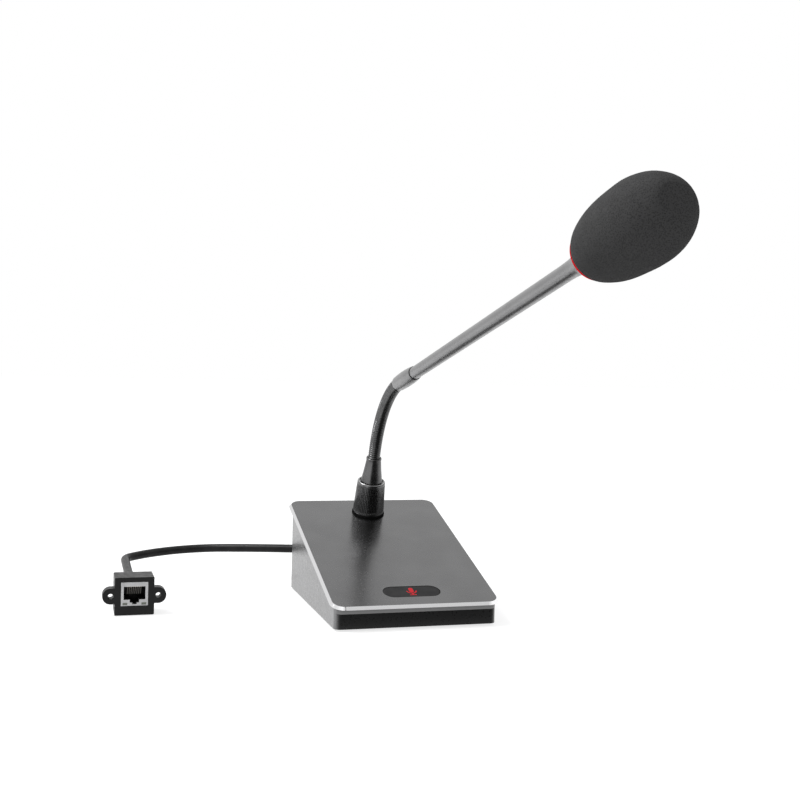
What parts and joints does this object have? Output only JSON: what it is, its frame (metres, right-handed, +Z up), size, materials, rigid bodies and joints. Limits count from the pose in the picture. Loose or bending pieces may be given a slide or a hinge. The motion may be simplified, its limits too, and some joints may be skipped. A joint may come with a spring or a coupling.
{
  "type": "gooseneck podium microphone",
  "caption": "Desk microphone: sloping weighted base with talk button, plug-in flexible gooseneck, straight stem, foam windscreen over a lit ring, and a cable ending in a panel network jack.",
  "frame": {"origin": "centre of the top plate's plan outline, at table level under the rubber pad", "axes": "+Z up, -Y towards the talker (button side), +X to the right seen from the talker's side"},
  "size_m": [0.2109, 0.4389, 0.2075],
  "materials": {
    "plate_anodised": "satin anodised",
    "body_metal": "satin",
    "frame_metal": "satin",
    "cover_metal": "matte",
    "foot_rubber": "matte",
    "screw_steel": "bright",
    "ballast_iron": "rough",
    "board_green": "solder mask",
    "chip_black": "moulded",
    "button_black": "smoked",
    "glyph_red": "lit red",
    "led_white": "moulded",
    "socket_nickel": "nickel",
    "insert_plastic": "moulded",
    "contact_gold": "gold plated",
    "collar_black": "knurled black",
    "cone_black": "satin",
    "neck_black": "black coil",
    "stem_grey": "satin grey",
    "ring_red": "lit red",
    "capsule_metal": "matte",
    "foam_black": "open-cell foam",
    "cable_pvc": "satin sheath",
    "jack_plastic": "moulded",
    "shield_tin": "tinned",
    "light_smoked": "unlit",
    "capacitor_can": "bright"
  },
  "bodies": {
    "base": {"housing": "body_metal", "top_frame": "frame_metal", "top_plate": "plate_anodised", "bottom_cover": "cover_metal", "rubber_pad": "foot_rubber", "cover_screws": "screw_steel", "ballast_weight": "ballast_iron", "ballast_screws": "screw_steel", "board_standoffs": "screw_steel", "main_board": "board_green", "processor_chip": "chip_black", "board_components": "capacitor_can", "board_screws": "screw_steel", "button_board": "board_green", "tact_switches": "chip_black", "indicator_led": "led_white", "button_board_screws": "screw_steel", "neck_socket": "socket_nickel", "seat_ring": "collar_black", "socket_insert": "insert_plastic", "socket_contacts": "contact_gold", "cable_gland": "insert_plastic", "cable_lead": "cable_pvc"},
    "button": {"button_cap": "button_black", "button_glyph": "glyph_red", "switch_plungers": "chip_black"},
    "neck_plug": {"neck_plug": "socket_nickel", "plug_pins": "contact_gold", "strain_cone": "cone_black", "neck_link_0": "neck_black"},
    "lock_collar": {"lock_collar": "collar_black"},
    "neck_1": {"neck_link_1": "neck_black"},
    "neck_2": {"neck_link_2": "neck_black"},
    "neck_3": {"neck_link_3": "neck_black"},
    "neck_4": {"neck_link_4": "neck_black"},
    "neck_5": {"neck_link_5": "neck_black"},
    "neck_6": {"neck_link_6": "neck_black"},
    "neck_7": {"neck_link_7": "neck_black"},
    "neck_8": {"neck_link_8": "neck_black"},
    "stem": {"neck_link_9": "neck_black", "ferrule": "stem_grey", "stem_tube": "stem_grey", "led_ring": "ring_red", "led_board": "board_green", "head_leds": "led_white", "capsule_housing": "capsule_metal", "capsule_mount": "foot_rubber", "mic_capsule": "capsule_metal", "capsule_grille": "capsule_metal", "signal_wire": "cable_pvc"},
    "windscreen": {"windscreen": "foam_black"},
    "cable_middle": {"cable_middle": "cable_pvc"},
    "cable_bend": {"cable_bend": "cable_pvc"},
    "jack": {"cable_tail": "cable_pvc", "cable_boot": "cable_pvc", "jack_housing": "jack_plastic", "jack_shield": "shield_tin", "jack_insert": "jack_plastic", "jack_lights": "light_smoked", "jack_contacts": "contact_gold"}
  },
  "joints": [
    {"name": "button_press", "type": "slide", "parent": "base", "child": "button", "axis": [0, 0.3065, -0.9519], "range_m": [0, 0.0006], "stiffness_N_per_m": 400},
    {"name": "neck_unplug", "type": "slide", "parent": "base", "child": "neck_plug", "axis": [0, -0.3065, 0.9519], "range_m": [0, 0.018]},
    {"name": "collar_turn", "type": "hinge", "parent": "neck_plug", "child": "lock_collar", "pos_m": [0, 0.04571, 0.04864], "axis": [0, -0.3065, 0.9519], "range_deg": [0, 360]},
    {"name": "neck_bend_5", "type": "hinge", "parent": "neck_plug", "child": "neck_1", "pos_m": [0, 0.03326, 0.08707], "axis": [1, 0, 0], "range_deg": [-18, 4.8]},
    {"name": "neck_side_4", "type": "hinge", "parent": "neck_1", "child": "neck_2", "pos_m": [0, 0.03029, 0.09396], "axis": [0, 0.8957, 0.4446], "range_deg": [-15, 15]},
    {"name": "neck_bend_4", "type": "hinge", "parent": "neck_2", "child": "neck_3", "pos_m": [0, 0.02661, 0.10048], "axis": [1, 0, 0], "range_deg": [-18, 4.8]},
    {"name": "neck_side_3", "type": "hinge", "parent": "neck_3", "child": "neck_4", "pos_m": [0, 0.02225, 0.10658], "axis": [0, 0.7815, 0.6239], "range_deg": [-15, 15]},
    {"name": "neck_bend_3", "type": "hinge", "parent": "neck_4", "child": "neck_5", "pos_m": [0, 0.01726, 0.11218], "axis": [1, 0, 0], "range_deg": [-18, 4.8]},
    {"name": "neck_side_2", "type": "hinge", "parent": "neck_5", "child": "neck_6", "pos_m": [0, 0.01171, 0.11722], "axis": [0, 0.6319, 0.7751], "range_deg": [-15, 15]},
    {"name": "neck_bend_2", "type": "hinge", "parent": "neck_6", "child": "neck_7", "pos_m": [0, 0.00566, 0.12164], "axis": [1, 0, 0], "range_deg": [-18, 4.8]},
    {"name": "neck_side", "type": "hinge", "parent": "neck_7", "child": "neck_8", "pos_m": [0, -0.00083, 0.1254], "axis": [0, 0.4537, 0.8912], "range_deg": [-15, 15]},
    {"name": "neck_bend", "type": "hinge", "parent": "neck_8", "child": "stem", "pos_m": [0, -0.00768, 0.12844], "axis": [1, 0, 0], "range_deg": [-18, 4.8]},
    {"name": "windscreen_pull", "type": "slide", "parent": "stem", "child": "windscreen", "axis": [0, -0.9781, 0.2079], "range_m": [0, 0.06]},
    {"name": "cable_swing", "type": "hinge", "parent": "base", "child": "cable_middle", "pos_m": [-0.02071, 0.07487, 0.02082], "axis": [0, 0, 1], "range_deg": [-10, 8]},
    {"name": "cable_swing_2", "type": "hinge", "parent": "cable_middle", "child": "cable_bend", "pos_m": [-0.0842, 0.10882, 0.01793], "axis": [0, 0, 1], "range_deg": [-10, 8]},
    {"name": "cable_swing_3", "type": "hinge", "parent": "cable_bend", "child": "jack", "pos_m": [-0.1456, 0.076, 0.01305], "axis": [0, 0, 1], "range_deg": [-10, 8]}
  ],
  "couplings": [
    {"joint": "neck_bend_5", "follows": "neck_bend", "ratio": 1},
    {"joint": "neck_side_4", "follows": "neck_side", "ratio": 1},
    {"joint": "neck_bend_4", "follows": "neck_bend", "ratio": 1},
    {"joint": "neck_side_3", "follows": "neck_side", "ratio": 1},
    {"joint": "neck_bend_3", "follows": "neck_bend", "ratio": 1},
    {"joint": "neck_side_2", "follows": "neck_side", "ratio": 1},
    {"joint": "neck_bend_2", "follows": "neck_bend", "ratio": 1},
    {"joint": "cable_swing_2", "follows": "cable_swing", "ratio": 1},
    {"joint": "cable_swing_3", "follows": "cable_swing", "ratio": 1}
  ]
}
